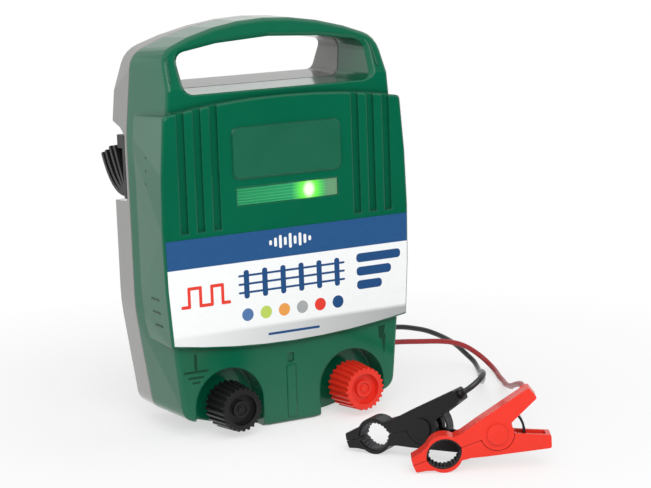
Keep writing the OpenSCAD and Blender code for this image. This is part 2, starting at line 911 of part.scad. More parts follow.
module left_cleat() {
    color(black)
        cleat_at(-1);
}
module right_cleat() {
    color(black)
        cleat_at(1);
}
module cleat_screws() {
    color(steel)
        for (s = [-1, 1], z = cleat_screw_z)
            translate([s * cleat_screw_x, 0, z]) {
                rod_y(board_screw_r, panel_y + channel_y - 1.5, panel_y + cleat_y + cleat_foot + 0.5);
                rod_y(2.7, panel_y + cleat_y + cleat_foot, panel_y + cleat_y + cleat_foot + 1.8);
            }
}

// Rocker switch, long side upright

rocker_gap = 0.35;
rocker_r = 3.2;
rocker_x = switch_face + 0.4;
rocker_tilt = 9;
rim_w = switch_w + 2 * switch_rim;
rim_h = switch_h + 2 * switch_rim;
module switch_body() {
    color(black)
        difference() {
            union() {
                translate([switch_face - 14, switch_y - switch_w / 2, switch_z - switch_h / 2])
                    cube([14 + eps, switch_w, switch_h]);
                translate([switch_face, switch_y - rim_w / 2, switch_z - rim_h / 2])
                    cube([1.6, rim_w, rim_h]);
            }
            translate([switch_face - 7, switch_y - switch_w / 2 + 1.2, switch_z - switch_h / 2 + 1.4])
                cube([20, switch_w - 2.4, switch_h - 2.8]);
            translate([rocker_x, switch_y - switch_w / 2 + 0.4, switch_z])
                rotate([-90, 0, 0])
                    cylinder(r = 1.2 + run_gap, h = switch_w - 0.8);
        }
}
module switch_rocker() {
    long = switch_h - 2.8 - 2 * rocker_gap - 0.8;
    wide = switch_w - 2.4 - 2 * rocker_gap;
    color([0.12, 0.12, 0.13])
        translate([rocker_x, switch_y, switch_z])
            rotate([0, rocker_tilt, 0]) {
                translate([0, wide / 2, 0])
                    rotate([90, 0, 0])
                        linear_extrude(wide)
                            polygon([[-3, -3], [-3, 3], [1.2, long / 2], [2.6, long / 2 - 0.3],
                                [1.5, 0], [2.6, -long / 2 + 0.3], [1.2, -long / 2]]);
                translate([0, -wide / 2 - 0.9, 0])
                    rotate([-90, 0, 0])
                        cylinder(r = 1.2, h = wide + 1.8);
            }
}

// Leads: a round tube swept along hand-chosen points

grommet_l = 9;
grommet_flange = 4.3;
module lead_grommets() {
    color(black)
        for (p = exit_places)
            translate([exit_face, p.x, p.y])
                rotate([0, 90, 0])
                    rotate_extrude()
                        polygon([[0, -8], [exit_r - 0.1, -8], [exit_r - 0.1, 0], [grommet_flange, 0],
                            [grommet_flange, 2], [lead_d / 2 + 1.1, 3], [lead_d / 2 + 0.5, grommet_l],
                            [0, grommet_l]]);
}
function spline(p0, p1, p2, p3, t) =
    0.5 * (2 * p1 + (p2 - p0) * t + (2 * p0 - 5 * p1 + 4 * p2 - p3) * t * t
        + (3 * p1 - p0 - 3 * p2 + p3) * t * t * t);
function smooth(pts, n) = let (k = len(pts)) concat(
    [for (i = [0:k - 2], j = [0:n - 1])
        spline(pts[max(i - 1, 0)], pts[i], pts[i + 1], pts[min(i + 2, k - 1)], j / n)],
    [pts[k - 1]]);
function tangent(pts, i) =
    unit(pts[min(i + 1, len(pts) - 1)] - pts[max(i - 1, 0)]);
lead_sides = 8;
function ring(c, t, r) =
    let (side = unit(cross(t, [0, 0, 1])), up = cross(side, t))
    [for (k = [0:lead_sides - 1])
        c + r * (cos(360 * k / lead_sides) * side + sin(360 * k / lead_sides) * up)];
module tube(pts, r) {
    n = len(pts);
    points = [for (i = [0:n - 1]) each ring(pts[i], tangent(pts, i), r)];
    walls = [for (i = [0:n - 2], k = [0:lead_sides - 1])
        let (a = i * lead_sides + k, b = i * lead_sides + (k + 1) % lead_sides)
        each [[a, b, b + lead_sides], [a, b + lead_sides, a + lead_sides]]];
    first = [for (k = [lead_sides - 1:-1:0]) k];
    last = [for (k = [0:lead_sides - 1]) (n - 1) * lead_sides + k];
    polyhedron(points = points, faces = concat(walls, [first, last]), convexity = 8);
}
module black_lead() {
    color(black)
        tube(smooth(black_route, 3), lead_d / 2);
}
module red_lead() {
    color(red)
        tube(smooth(red_route, 3), lead_d / 2);
}

// Battery clips in their own plane: u from the jaw hole to the handles, v upwards

clip_gap = 0.15;
jaw_c = jaw_rise - jaw_r;
liner_t = 0.8;
ear_in = 2.6;
ear_mid = clip_w / 2 - 1.6;
pivot = [clip_reach, 0];
handle_l = 25.6;
handle_out = [clip_reach + handle_l, 18.6];
handle_in = [clip_reach + handle_l + 2.4, 11.4];
arm_pts = rounded([[-18.6, clip_gap], [-18.2, 4.4, 1, 2], [-12.6, 5.4, 3, 2], [-7, 7.4], [0, 5],
    [7.5, 7], [13.5, 7.6, 6, 3], [clip_reach - 9.5, 10.1, 30, 2], [handle_out.x, handle_out.y, 1.2, 3],
    [handle_in.x, handle_in.y, 1.2, 3], [clip_reach + 11.5, 4.1, 1, 2],
    [clip_reach + 6, clip_gap + 1.2], [clip_reach - 6, clip_gap]]);
pocket_pts = [[clip_reach + 8.5, -1], [clip_reach + 8.5, 12.2], [clip_reach + handle_l - 1.6, 16],
    [clip_reach + handle_l + 0.2, 12], [clip_reach + handle_l - 2, 6], [clip_reach + 13, -1]];

module plate(w0, w1) {
    translate([0, 0, w0])
        linear_extrude(w1 - w0)
            children();
}
module both_sides(w0, w1) {
    plate(w0, w1)
        children();
    plate(-w1, -w0)
        children();
}
module at_pivot(r) {
    translate(pivot)
        circle(r = r);
}
module arm_form() {
    difference() {
        union() {
            plate(-clip_w / 2, clip_w / 2)
                polygon(arm_pts);
            plate(-clip_w / 2, clip_w / 2)
                intersection() {
                    circle(r = jaw_out_r);
                    translate([-jaw_out_r, clip_gap])
                        square([2 * jaw_out_r, jaw_out_r]);
                }
        }
        plate(-clip_w, clip_w)
            translate([0, jaw_c])
                circle(r = jaw_r);
        plate(-clip_w / 2 + 1.7, clip_w / 2 - 1.7)
            polygon(pocket_pts);
    }
}
// the upper arm carries the outer cheeks, the lower arm the inner ears
module upper_arm() {
    difference() {
        union() {
            arm_form();
            both_sides(ear_mid + clip_gap, clip_w / 2)
                at_pivot(boss_r);
        }
        plate(-ear_mid - clip_gap, ear_mid + clip_gap)
            at_pivot(boss_r + 0.4);
        plate(-clip_w, clip_w)
            at_pivot(pin_r + run_gap);
    }
}
module lower_arm() {
    difference() {
        union() {
            difference() {
                mirror([0, 1, 0])
                    arm_form();
                plate(-clip_w, clip_w)
                    at_pivot(boss_r + 0.4);
            }
            both_sides(ear_in, ear_mid)
                intersection() {
                    at_pivot(boss_r - 0.1);
                    translate(pivot)
                        circle(r = boss_r + 2);
                }
            both_sides(ear_in, ear_mid)
                intersection() {
                    mirror([0, 1, 0])
                        polygon(arm_pts);
                    at_pivot(boss_r + 1.5);
                }
        }
        plate(-clip_w, clip_w)
            at_pivot(pin_r + run_gap);
    }
}
module pivot_pin() {
    plate(-clip_w / 2 - 0.3, clip_w / 2 + 0.3)
        at_pivot(pin_r);
    both_sides(clip_w / 2 + 0.2, clip_w / 2 + 1.4)
        at_pivot(5.8);
}
liner_teeth = 11;
liner_half = acos(-jaw_c / jaw_r) - 6;
function liner_pts() =
    let (r0 = jaw_r - seat_gap, n = 2 * liner_teeth)
    concat(
        [for (i = [0:n]) let (a = 90 - liner_half + 2 * liner_half * i / n) r0 * [cos(a), sin(a)]],
        [for (i = [n:-1:0])
            let (a = 90 - liner_half + 2 * liner_half * i / n, q = r0 - liner_t - (i % 2) * 0.7)
            q * [cos(a), sin(a)]]);
module jaw_liner() {
    translate([0, jaw_c])
        plate(-clip_w / 2 + 1.2, clip_w / 2 - 1.2)
            polygon(liner_pts());
}
// bow spring between the handles
spring_t = 1.3;
spring_w = clip_w - 5;
spring_u = clip_reach + 10.6;
spring_end = 11.8;
module bow_spring() {
    plate(-spring_w / 2, spring_w / 2)
        polygon(leaf([spring_u, spring_end], [spring_u + 9.5, 0], [spring_u, -spring_end], spring_t));
}
// the black lead leaves through a sleeve at the end of its handle, square to the end
sleeve_l = 3;
sleeve_r = 2.9;
sleeve_axis = handle_in - handle_out;
module sleeve_form() {
    rotate_extrude($fn = 24)
        polygon([[0, 0], [sleeve_r, 0], [sleeve_r, 0.8], [lead_d / 2 + 0.7, 1.6],
            [lead_d / 2 + 0.5, sleeve_l], [0, sleeve_l]]);
}
module end_sleeve() {
    translate((handle_out + handle_in) / 2)
        rotate([0, 90, atan2(sleeve_axis.y, sleeve_axis.x) + 90])
            sleeve_form();
}
// the red lead leaves through a sleeve on the far cheek
module side_sleeve() {
    translate([clip_reach + handle_l - 3, 15.2, -clip_w / 2])
        rotate([180, 0, 0])
            sleeve_form();
}

floor_h = jaw_out_r + 0.05;
black_clip_at = [6.4, panel_y - 87.25, floor_h];
black_clip_turn = [-58.5, 13.8];
red_clip_at = [15.5, panel_y - 143, floor_h];
red_clip_turn = [-30, 19.5];
// a point of a clip's own plane in the part's frame
function on_clip(at, turn, p) =
    let (x = p.x * cos(turn[1]) - p.y * sin(turn[1]), z = p.x * sin(turn[1]) + p.y * cos(turn[1]))
    at + [x * cos(turn[0]) + p.z * sin(turn[0]), x * sin(turn[0]) - p.z * cos(turn[0]), z];
// the black lead bends back out of its sleeve; the ends of both leads meet their sleeves
lead_bend = 10;
sleeve_gap = 0.12;
black_out = let (d = unit(handle_in - handle_out)) [-d.y, d.x, 0];
black_over = [-0.096, 0.266, -0.958];
black_tip = let (m = (handle_out + handle_in) / 2) [m.x, m.y, 0] + (sleeve_l + sleeve_gap) * black_out;
function black_hook(a) = on_clip(black_clip_at, black_clip_turn,
    black_tip + lead_bend * (sin(a) * black_out + (1 - cos(a)) * black_over));
black_route = concat([[exit_face + grommet_l, exit_places[0].x, exit_places[0].y]],
    [[98, 22.3, 36.3], [112, 21.5, 35.7], [123, 20.5, 33.5], [132, 20.5, 30.8], [141, 20.5, 26.8]],
    [[150, 22.5, 22], [158.5, 25, 16.5], [165.5, 25, 10], [168.5, 19.5, 5], [166, 10.5, 2]],
    [[158.5, -3.5, 1.8], [150.5, -16, 2.5], [141, -31, 5.2], [129.5, -49, 9.7], [116.5, -69, 15.6]],
    [[103, -89.5, 22.2], [90, -109.5, 28.8], [78.5, -126.5, 35], [68.7, -140.5, 40.4]],
    [[61, -151, 44.4], [56, -158.7, 47], [52.8, -164.4, 48.6]],
    [for (a = [118, 90, 60, 30, 12, 4, 0]) black_hook(a)]);
red_tip = on_clip(red_clip_at, red_clip_turn,
    [clip_reach + handle_l - 3, 15.2, -clip_w / 2 - sleeve_l - sleeve_gap]);
red_route = concat([[exit_face + grommet_l, exit_places[1].x, exit_places[1].y]],
    [[98, 20.8, 26.8], [110, 17.5, 26.6], [123, 14.5, 25.6], [138, 12.5, 24], [149, 12.5, 21.5]],
    [[157.5, 12.8, 18], [164.5, 12.5, 13.5], [170, 9.8, 8.4], [172, 3, 3.8], [169.5, -6.5, 1.9]],
    [[164, -18, 1.8], [156, -35, 2.8], [148, -48, 5.2], [141, -60.5, 7.8], [128.5, -83.5, 13]],
    [[114.5, -105, 19.6], [101, -125.5, 25.8], [88, -147, 32.4], [78, -164.5, 37.6]],
    [[71, -176.5, 41], [66.5, -184.5, 42.8], [63, -190.8, 43.3], red_tip]);
module placed(at, turn) {
    translate(at)
        rotate([0, -turn[1], turn[0]])
            rotate([90, 0, 0])
                children();
}
module black_clip_lower() {
    color(black)
        placed(black_clip_at, black_clip_turn)
            lower_arm();
}
module black_clip_upper() {
    color(black)
        placed(black_clip_at, black_clip_turn)
            upper_arm();
}
module black_clip_pin() {
    color(black)
        placed(black_clip_at, black_clip_turn)
            pivot_pin();
}
module black_clip_spring() {
    color(black)
        placed(black_clip_at, black_clip_turn)
            bow_spring();
}
module black_clip_teeth_upper() {
    color(steel)
        placed(black_clip_at, black_clip_turn)
            jaw_liner();
}
module black_clip_teeth_lower() {
    color(steel)
        placed(black_clip_at, black_clip_turn)
            mirror([0, 1, 0])
                jaw_liner();
}
module black_clip_sleeve() {
    color(black)
        placed(black_clip_at, black_clip_turn)
            end_sleeve();
}
module red_clip_lower() {
    color(red)
        placed(red_clip_at, red_clip_turn)
            lower_arm();
}
module red_clip_upper() {
    color(red)
        placed(red_clip_at, red_clip_turn)
            upper_arm();
}
module red_clip_pin() {
    color(red)
        placed(red_clip_at, red_clip_turn)
            pivot_pin();
}
module red_clip_spring() {
    color(black)
        placed(red_clip_at, red_clip_turn)
            bow_spring();
}
module red_clip_teeth_upper() {
    color(steel)
        placed(red_clip_at, red_clip_turn)
            jaw_liner();
}
module red_clip_teeth_lower() {
    color(steel)
        placed(red_clip_at, red_clip_turn)
            mirror([0, 1, 0])
                jaw_liner();
}
module red_clip_sleeve() {
    color(red)
        placed(red_clip_at, red_clip_turn)
            side_sleeve();
}

front_cover();
rear_casing();
casing_seal();
casing_screws();
indicator_window();
indicator_lamp();
front_label();
circuit_board();
inner_screws();
transformer_core();
transformer_winding();
storage_capacitor();
earth_stud();
fence_stud();
terminal_nuts();
earth_washer();
fence_washer();
earth_knob();
fence_knob();
earth_insert();
fence_insert();
left_cleat();
right_cleat();
cleat_screws();
switch_body();
switch_rocker();
lead_grommets();
black_lead();
red_lead();
black_clip_lower();
black_clip_upper();
black_clip_pin();
black_clip_spring();
black_clip_teeth_upper();
black_clip_teeth_lower();
black_clip_sleeve();
red_clip_lower();
red_clip_upper();
red_clip_pin();
red_clip_spring();
red_clip_teeth_upper();
red_clip_teeth_lower();
red_clip_sleeve();
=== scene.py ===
# %% [markdown]
# A battery fence energizer stands on a pale table, with its two battery clips in front of it.
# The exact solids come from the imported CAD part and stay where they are. This file gives them
# their finishes, adds what print and moulding put on top, and lights the scene.

# %% Load the solids
import math

import bmesh
import bpy
from mathutils import Matrix, Vector
from mathutils.geometry import interpolate_bezier


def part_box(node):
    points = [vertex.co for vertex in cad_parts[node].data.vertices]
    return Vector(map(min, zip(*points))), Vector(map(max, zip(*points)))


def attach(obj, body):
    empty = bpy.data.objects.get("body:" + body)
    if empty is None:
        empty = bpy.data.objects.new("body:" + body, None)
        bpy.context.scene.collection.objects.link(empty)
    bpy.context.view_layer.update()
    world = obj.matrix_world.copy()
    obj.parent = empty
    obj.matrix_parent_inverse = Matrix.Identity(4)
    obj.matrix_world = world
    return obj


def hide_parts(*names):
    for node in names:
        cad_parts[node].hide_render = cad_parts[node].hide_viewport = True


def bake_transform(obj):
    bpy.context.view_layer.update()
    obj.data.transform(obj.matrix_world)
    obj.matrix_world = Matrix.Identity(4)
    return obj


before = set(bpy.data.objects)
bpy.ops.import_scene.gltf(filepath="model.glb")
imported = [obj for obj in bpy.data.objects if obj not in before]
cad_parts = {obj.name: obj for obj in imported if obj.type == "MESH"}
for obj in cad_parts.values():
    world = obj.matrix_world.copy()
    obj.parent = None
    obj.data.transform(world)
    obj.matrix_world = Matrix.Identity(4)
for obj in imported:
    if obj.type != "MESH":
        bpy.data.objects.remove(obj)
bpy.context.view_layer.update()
scene = bpy.context.scene
scene.view_settings.view_transform = "Standard"
MM = 0.001

# %% [markdown]
# The camera stands about 1.4 m away, a little above the object and to its left, and is rolled by
# two degrees. A Track To constraint would be quick, but it can't roll, so the three axes of the
# camera are worked out from its turn, rise and roll and go straight into its matrix.

# %% Camera
CAMERA_PLACE = (-0.6255, -1.1864, 0.3374)
CAMERA_TURN = 29.5
CAMERA_RISE = 9.7975
CAMERA_ROLL = -1.973
SENSOR_MM = 36
LENS_MM = 120.7


def camera_matrix(place, turn, rise, roll):
    """Matrix of a camera that looks along turn (from +Y) and down by rise, in degrees."""
    a, e, r = (math.radians(v) for v in (turn, rise, roll))
    back = Vector((-math.sin(a) * math.cos(e), -math.cos(a) * math.cos(e), math.sin(e)))
    right = (-back).cross(Vector((0, 0, 1))).normalized()
    up = right.cross(-back)
    across = math.cos(r) * right + math.sin(r) * up
    upward = math.cos(r) * up - math.sin(r) * right
    turned = Matrix((across, upward, back)).transposed().to_4x4()
    return Matrix.Translation(place) @ turned


lens_data = bpy.data.cameras.new("camera")
lens_data.sensor_width = SENSOR_MM
lens_data.lens = LENS_MM
camera = bpy.data.objects.new("camera", lens_data)
scene.collection.objects.link(camera)
camera.matrix_world = camera_matrix(CAMERA_PLACE, CAMERA_TURN, CAMERA_RISE, CAMERA_ROLL)
scene.camera = camera
print("camera at", [round(v, 3) for v in camera.location], "lens", LENS_MM)

# %% [markdown]
# The two battery leads leave the right side of the casing, sink to the table, cross there and rise
# again to the tails of their clips. A lead is a curve with a round bevel, and the handles of each
# point lie along the line from the point before it to the point after it, which bends the curve
# as a springy wire bends. The curve is then made a mesh. The routes are in millimetres.

# %% Routes of the leads
LEAD_D = 3.4 * MM
LEAD_STEPS = 8
black_route = [
    (86.6, 22.75, 36), (98, 22.3, 36.3), (112, 21.5, 35.7), (123, 20.5, 33.5), (132, 20.5, 30.8),
    (141, 20.5, 26.8), (150, 22.5, 22), (158.5, 25, 16.5), (165.5, 25, 10), (168.5, 19.5, 5),
    (166, 10.5, 2), (158.5, -3.5, 1.8), (150.5, -16, 2.5), (141, -31, 5.2), (129.5, -49, 9.7),
    (116.5, -69, 15.6), (103, -89.5, 22.2), (90, -109.5, 28.8), (78.5, -126.5, 35),
    (68.7, -140.5, 40.4), (61, -151, 44.4), (56, -158.7, 47), (52.8, -164.4, 48.6),
    (50.45, -169.44, 49.18), (47.52, -173.26, 48.7), (43.25, -175.47, 46.8), (38.94, -175.15, 43.99),
    (36.83, -173.75, 42.17), (36.08, -172.88, 41.39), (35.75, -172.39, 41.01),
]
red_route = [
    (86.6, 22.75, 26.5), (98, 20.8, 26.8), (110, 17.5, 26.6), (123, 14.5, 25.6), (138, 12.5, 24),
    (149, 12.5, 21.5), (157.5, 12.8, 18), (164.5, 12.5, 13.5), (170, 9.8, 8.4), (172, 3, 3.8),
    (169.5, -6.5, 1.9), (164, -18, 1.8), (156, -35, 2.8), (148, -48, 5.2), (141, -60.5, 7.8),
    (128.5, -83.5, 13), (114.5, -105, 19.6), (101, -125.5, 25.8), (88, -147, 32.4),
    (78, -164.5, 37.6), (71, -176.5, 41), (66.5, -184.5, 42.8), (63, -190.8, 43.3),
    (60.24, -195.55, 43.3),
]
print("points of the routes:", len(black_route), "and", len(red_route))


def handles(points):
    """The left and right handle of every point, a sixth of the way between its neighbours long."""
    ends = [points[0]] + points + [points[-1]]
    slopes = [(ends[i + 2] - ends[i]) / 6 for i in range(len(points))]
    return [(p - s, p + s) for p, s in zip(points, slopes)]


def line_along(points):
    """Points close together on the smooth line."""
    arms = handles(points)
    line = []
    for i in range(len(points) - 1):
        bend = (points[i], arms[i][1], arms[i + 1][0], points[i + 1])
        line += interpolate_bezier(*bend, LEAD_STEPS + 1)[:-1]
    return line + [points[-1]]


# %% Make the leads
def lead_tube(name, route):
    """A round lead along a route given in millimetres, as a mesh, with the line that it follows."""
    points = [Vector(p) * MM for p in route]
    data = bpy.data.curves.new(name, "CURVE")
    data.dimensions = "3D"
    data.bevel_depth = LEAD_D / 2
    data.bevel_resolution = 5
    data.resolution_u = LEAD_STEPS
    data.use_fill_caps = True
    run = data.splines.new("BEZIER")
    run.bezier_points.add(len(points) - 1)
    for spot, place, (left, right) in zip(run.bezier_points, points, handles(points)):
        spot.handle_left_type = spot.handle_right_type = "FREE"
        spot.co, spot.handle_left, spot.handle_right = place, left, right
    curve = bpy.data.objects.new(name + "_line", data)
    scene.collection.objects.link(curve)
    bpy.context.view_layer.update()
    finished = curve.evaluated_get(bpy.context.evaluated_depsgraph_get())
    mesh = bpy.data.meshes.new_from_object(finished)
    bpy.data.objects.remove(curve)
    mesh.name = name
    mesh.shade_smooth()
    tube = bpy.data.objects.new(name, mesh)
    scene.collection.objects.link(tube)
    return tube, line_along(points)


def length_of(line):
    """The length of a line of points."""
    return sum((b - a).length for a, b in zip(line, line[1:]))


leads = {}
for colour, route, tail in (("black", black_route, 84), ("red", red_route, 68)):
    tube, line = lead_tube(colour + "_battery_lead", route)
    clip_nodes = [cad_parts[f"{colour}_clip_{part}"] for part in (
        "lower", "upper", "pin", "teeth_upper", "teeth_lower", "sleeve")]
    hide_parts(colour + "_lead")
    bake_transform(tube)
    leads[colour] = (tube, line, clip_nodes)
    print(tube.name, "length in mm:", round(length_of(line) / MM, 1), "faces:", len(tube.data.polygons))

# %% [markdown]
# The bow spring between the handles of a clip is bent when the clip is squeezed. A copy of the exact
# spring, with its loose triangles merged, takes the place of the imported one.

# %% Bow springs
def bending_spring(colour):
    """A copy of the bow spring, with its loose triangles merged."""
    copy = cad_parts[colour + "_clip_spring"].data.copy()
    form = bmesh.new()
    form.from_mesh(copy)
    bmesh.ops.remove_doubles(form, verts=form.verts, dist=1e-6)
    form.to_mesh(copy)
    form.free()
    spring = bpy.data.objects.new(colour + "_bow_spring", copy)
    scene.collection.objects.link(spring)
    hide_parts(colour + "_clip_spring")
    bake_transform(spring)
    print(spring.name, "points:", len(copy.vertices))
    return spring


springs = {}
for colour in ("black", "red"):
    springs[colour] = bending_spring(colour)

# %% [markdown]
# Every finish starts from the same few nodes, so the helpers come first. paint() turns a screen
# colour into the linear numbers that Blender mixes with. knot() adds a node, and plug() sets the
# sockets that are given numbers and links those that are given another node's output.

# %% Helpers for finishes
def paint(red, green, blue):
    """A screen colour, 0 to 255, as linear numbers."""
    def linear(c):
        c /= 255
        return c / 12.92 if c <= 0.04045 else ((c + 0.055) / 1.055) ** 2.4
    return (linear(red), linear(green), linear(blue), 1.0)


def dimmed(colour, share):
    """The same colour with only that share of its light."""
    return tuple(v * share for v in colour[:3]) + (1.0,)


def plug(tree, node, sockets):
    """Set or link some sockets of a node."""
    for key, value in sockets.items():
        if isinstance(value, bpy.types.NodeSocket):
            tree.links.new(value, node.inputs[key])
        else:
            node.inputs[key].default_value = value


def knot(tree, kind, sockets=None, **settings):
    """A new node with its settings, and its sockets set or linked."""
    node = tree.nodes.new(kind)
    for key, value in settings.items():
        setattr(node, key, value)
    plug(tree, node, sockets or {})
    return node


def new_finish(name):
    """An empty finish: its material, node tree, shader and Object coordinates."""
    finish = bpy.data.materials.new(name)
    finish.use_nodes = True
    tree = finish.node_tree
    place = knot(tree, "ShaderNodeTexCoord").outputs["Object"]
    print("finish:", name)
    return finish, tree, tree.nodes["Principled BSDF"], place


def grain(tree, place, scale, detail=2.0, rough=0.5):
    """A noise of that many cells per metre, as a grey value."""
    sockets = {"Vector": place, "Scale": scale, "Detail": detail, "Roughness": rough}
    return knot(tree, "ShaderNodeTexNoise", sockets).outputs["Fac"]


def between(tree, value, low, high, out_low=0.0, out_high=1.0):
    """A grey value stretched from one range to another, and kept inside it."""
    sockets = {"Value": value, "From Min": low, "From Max": high, "To Min": out_low, "To Max": out_high}
    return knot(tree, "ShaderNodeMapRange", sockets).outputs["Result"]


def sums(tree, what, a, b):
    """One step of arithmetic on two values."""
    return knot(tree, "ShaderNodeMath", {0: a, 1: b}, operation=what).outputs[0]


def on_vectors(tree, what, a, b=(0, 0, 0)):
    """One step of arithmetic on two vectors, as a node."""
    return knot(tree, "ShaderNodeVectorMath", {0: a, 1: b}, operation=what)


def mix(tree, share, a, b):
    """Colour a where share is 0 and b where it is 1."""
    return knot(tree, "ShaderNodeMix", {0: share, 6: a, 7: b}, data_type="RGBA").outputs[2]


def bumped(tree, height, depth, strength, over=None):
    """The normal of a face with a relief of that depth, in millimetres."""
    sockets = {"Height": height, "Distance": depth * MM, "Strength": strength}
    if over is not None:
        sockets["Normal"] = over
    return knot(tree, "ShaderNodeBump", sockets).outputs["Normal"]


print("helpers ready; mid grey is", [round(v, 3) for v in paint(128, 128, 128)][:3])

# %% [markdown]
# Moulded plastic has a very fine grain from the mould, slow changes of tone where it cooled, and
# edges that are rounded a little. The Bevel node gives the rounded edge, because it looks for other
# faces close by and so needs no change to the solid. Where that rounded normal leaves the flat one,
# the face is near an edge, and there the colour is lightened: partly rubbed wear, partly a painted
# highlight. Where little open sky is seen, the Ambient Occlusion node darkens grooves and corners
# with painted shade.

# %% Moulded plastic
SHADE_REACH = 4 * MM


def moulded(name, colour, wear_and_highlight_colour, rough=0.3, edge=0.5, grain_size=0.35, grain_depth=0.012, gloss=0.5,
            corner_shade=0.0, wear_and_highlight_share=0.5):
    """Plastic of one colour. edge, grain_size and grain_depth are in millimetres."""
    finish, tree, shader, place = new_finish(name)
    cooled = between(tree, grain(tree, place, scale=14, detail=3), 0.35, 0.65)
    body = mix(tree, cooled, dimmed(colour, 0.92), colour)
    rounded = knot(tree, "ShaderNodeBevel", {"Radius": edge * MM}, samples=6).outputs["Normal"]
    flat = knot(tree, "ShaderNodeNewGeometry").outputs["Normal"]
    same = on_vectors(tree, "DOT_PRODUCT", rounded, flat).outputs["Value"]
    patches = between(tree, grain(tree, place, scale=160, detail=4), 0.35, 0.7)
    # Near an edge the colour turns paler: partly rubbed wear, partly a painted highlight.
    wear_and_highlight_mask = sums(tree, "MULTIPLY", between(tree, same, 0.96, 0.8), patches)
    body = mix(tree, sums(tree, "MULTIPLY", wear_and_highlight_mask, wear_and_highlight_share), body, wear_and_highlight_colour)
    # Where little open sky is seen the colour is darkened: painted shade in grooves and corners.
    if corner_shade:
        sky = knot(tree, "ShaderNodeAmbientOcclusion", {"Distance": SHADE_REACH}, samples=6).outputs["AO"]
        body = mix(tree, between(tree, sky, 0.98, 0.55, 0.0, corner_shade), body, dimmed(colour, 0.3))
    smears = grain(tree, place, scale=55, detail=5, rough=0.65)
    fine = grain(tree, place, scale=1 / (grain_size * MM))
    plug(tree, shader, {
        "Base Color": body,
        "Roughness": between(tree, smears, 0.3, 0.75, rough * 0.85, rough * 1.25),
        "Normal": bumped(tree, fine, grain_depth, strength=0.5, over=rounded),
        "Specular IOR Level": gloss,
    })
    return finish


# %% Plastics of the casing, knobs, clips and leads
# The casing plastics darken their grooves and corners with painted shade.
green_moulding = moulded("green_moulding", paint(2, 97, 68), paint(60, 150, 116), rough=0.14, edge=1.6,
                         grain_depth=0.004, gloss=0.42, corner_shade=0.4, wear_and_highlight_share=0.2)
# Deep green for narrow cuts and pin holes, whose walls and floors stay in shade: painted shade.
shade_green = moulded("shade_green", paint(1, 62, 42), paint(8, 88, 62), rough=0.35, edge=0.2, gloss=0.3)
matt_green = moulded("matt_green", paint(6, 98, 70), paint(30, 118, 90), rough=0.5, edge=0.4,
                     grain_size=0.25, grain_depth=0.015, gloss=0.3)
grey_moulding = moulded("grey_moulding", paint(130, 129, 126), paint(176, 176, 173), rough=0.14, edge=1.6,
                        grain_depth=0.004, corner_shade=0.3, wear_and_highlight_share=0.3)
black_moulding = moulded("black_moulding", paint(25, 25, 26), paint(86, 86, 86), rough=0.38, edge=0.35,
                         gloss=0.28)
red_moulding = moulded("red_moulding", paint(231, 50, 33), paint(248, 124, 106), rough=0.33, edge=0.35,
                       gloss=0.35)
red_lead_skin = moulded("red_lead_skin", paint(160, 44, 46), paint(205, 105, 100), rough=0.4, edge=0.1,
                        grain_size=0.8, gloss=0.35)
black_lead_skin = moulded("black_lead_skin", paint(44, 46, 46), paint(108, 112, 110), edge=0.1,
                          grain_size=0.8)
seal_rubber = moulded("seal_rubber", paint(26, 26, 27), paint(60, 60, 60), rough=0.7, edge=0.2, gloss=0.3)
can_sleeve = moulded("can_sleeve", paint(38, 52, 92), paint(90, 104, 150), rough=0.35, edge=0.4)

# %% [markdown]
# Metal is a mirror with a direction: screws, studs and springs are drawn, turned or rolled, and
# that leaves fine lines. A wave squeezed along one axis would look too regular, so a noise is
# stretched instead, and it changes the roughness and the height a little.

# %% Drawn metal
def drawn_metal(name, colour, dull, rough=0.28, stretch=(1, 1, 0.04), scale=2600):
    """Metal with fine lines along the axis that stretch makes short."""
    finish, tree, shader, place = new_finish(name)
    along = knot(tree, "ShaderNodeMapping", {"Vector": place, "Scale": stretch}).outputs["Vector"]
    lines = grain(tree, along, scale, detail=3)
    stain = between(tree, grain(tree, place, scale=90, detail=4, rough=0.6), 0.5, 0.72)
    plug(tree, shader, {
        "Base Color": mix(tree, stain, colour, dull),
        "Roughness": between(tree, lines, 0.3, 0.7, rough * 0.75, rough * 1.35),
        "Normal": bumped(tree, lines, depth=0.01, strength=0.35),
        "Metallic": 1.0,
    })
    return finish


# %% Metals of the screws, clips and coil
zinc_steel = drawn_metal("zinc_steel", paint(205, 206, 208), paint(160, 160, 164))
dull_zinc = drawn_metal("dull_zinc", paint(78, 79, 81), paint(52, 52, 55), rough=0.45)
spring_steel = drawn_metal("spring_steel", paint(62, 63, 66), paint(38, 39, 42), rough=0.26,
                           stretch=(0.05, 1, 1))
turned_brass = drawn_metal("turned_brass", paint(214, 176, 96), paint(160, 122, 62), rough=0.25)
core_iron = drawn_metal("core_iron", paint(112, 113, 118), paint(66, 58, 54), rough=0.42,
                        stretch=(0.02, 1, 0.02), scale=1400)
copper_wire = drawn_metal("copper_wire", paint(196, 110, 62), paint(126, 62, 36), rough=0.3,
                          stretch=(0.03, 0.03, 1), scale=1800)

# %% [markdown]
# The circuit board is a glass-cloth sheet under a thin lacquer. A fine wave that runs aslant gives
# the cloth, and a stepped brick pattern gives the lighter copper runs under the lacquer. Both are
# turned upright, because the board stands on its edge.

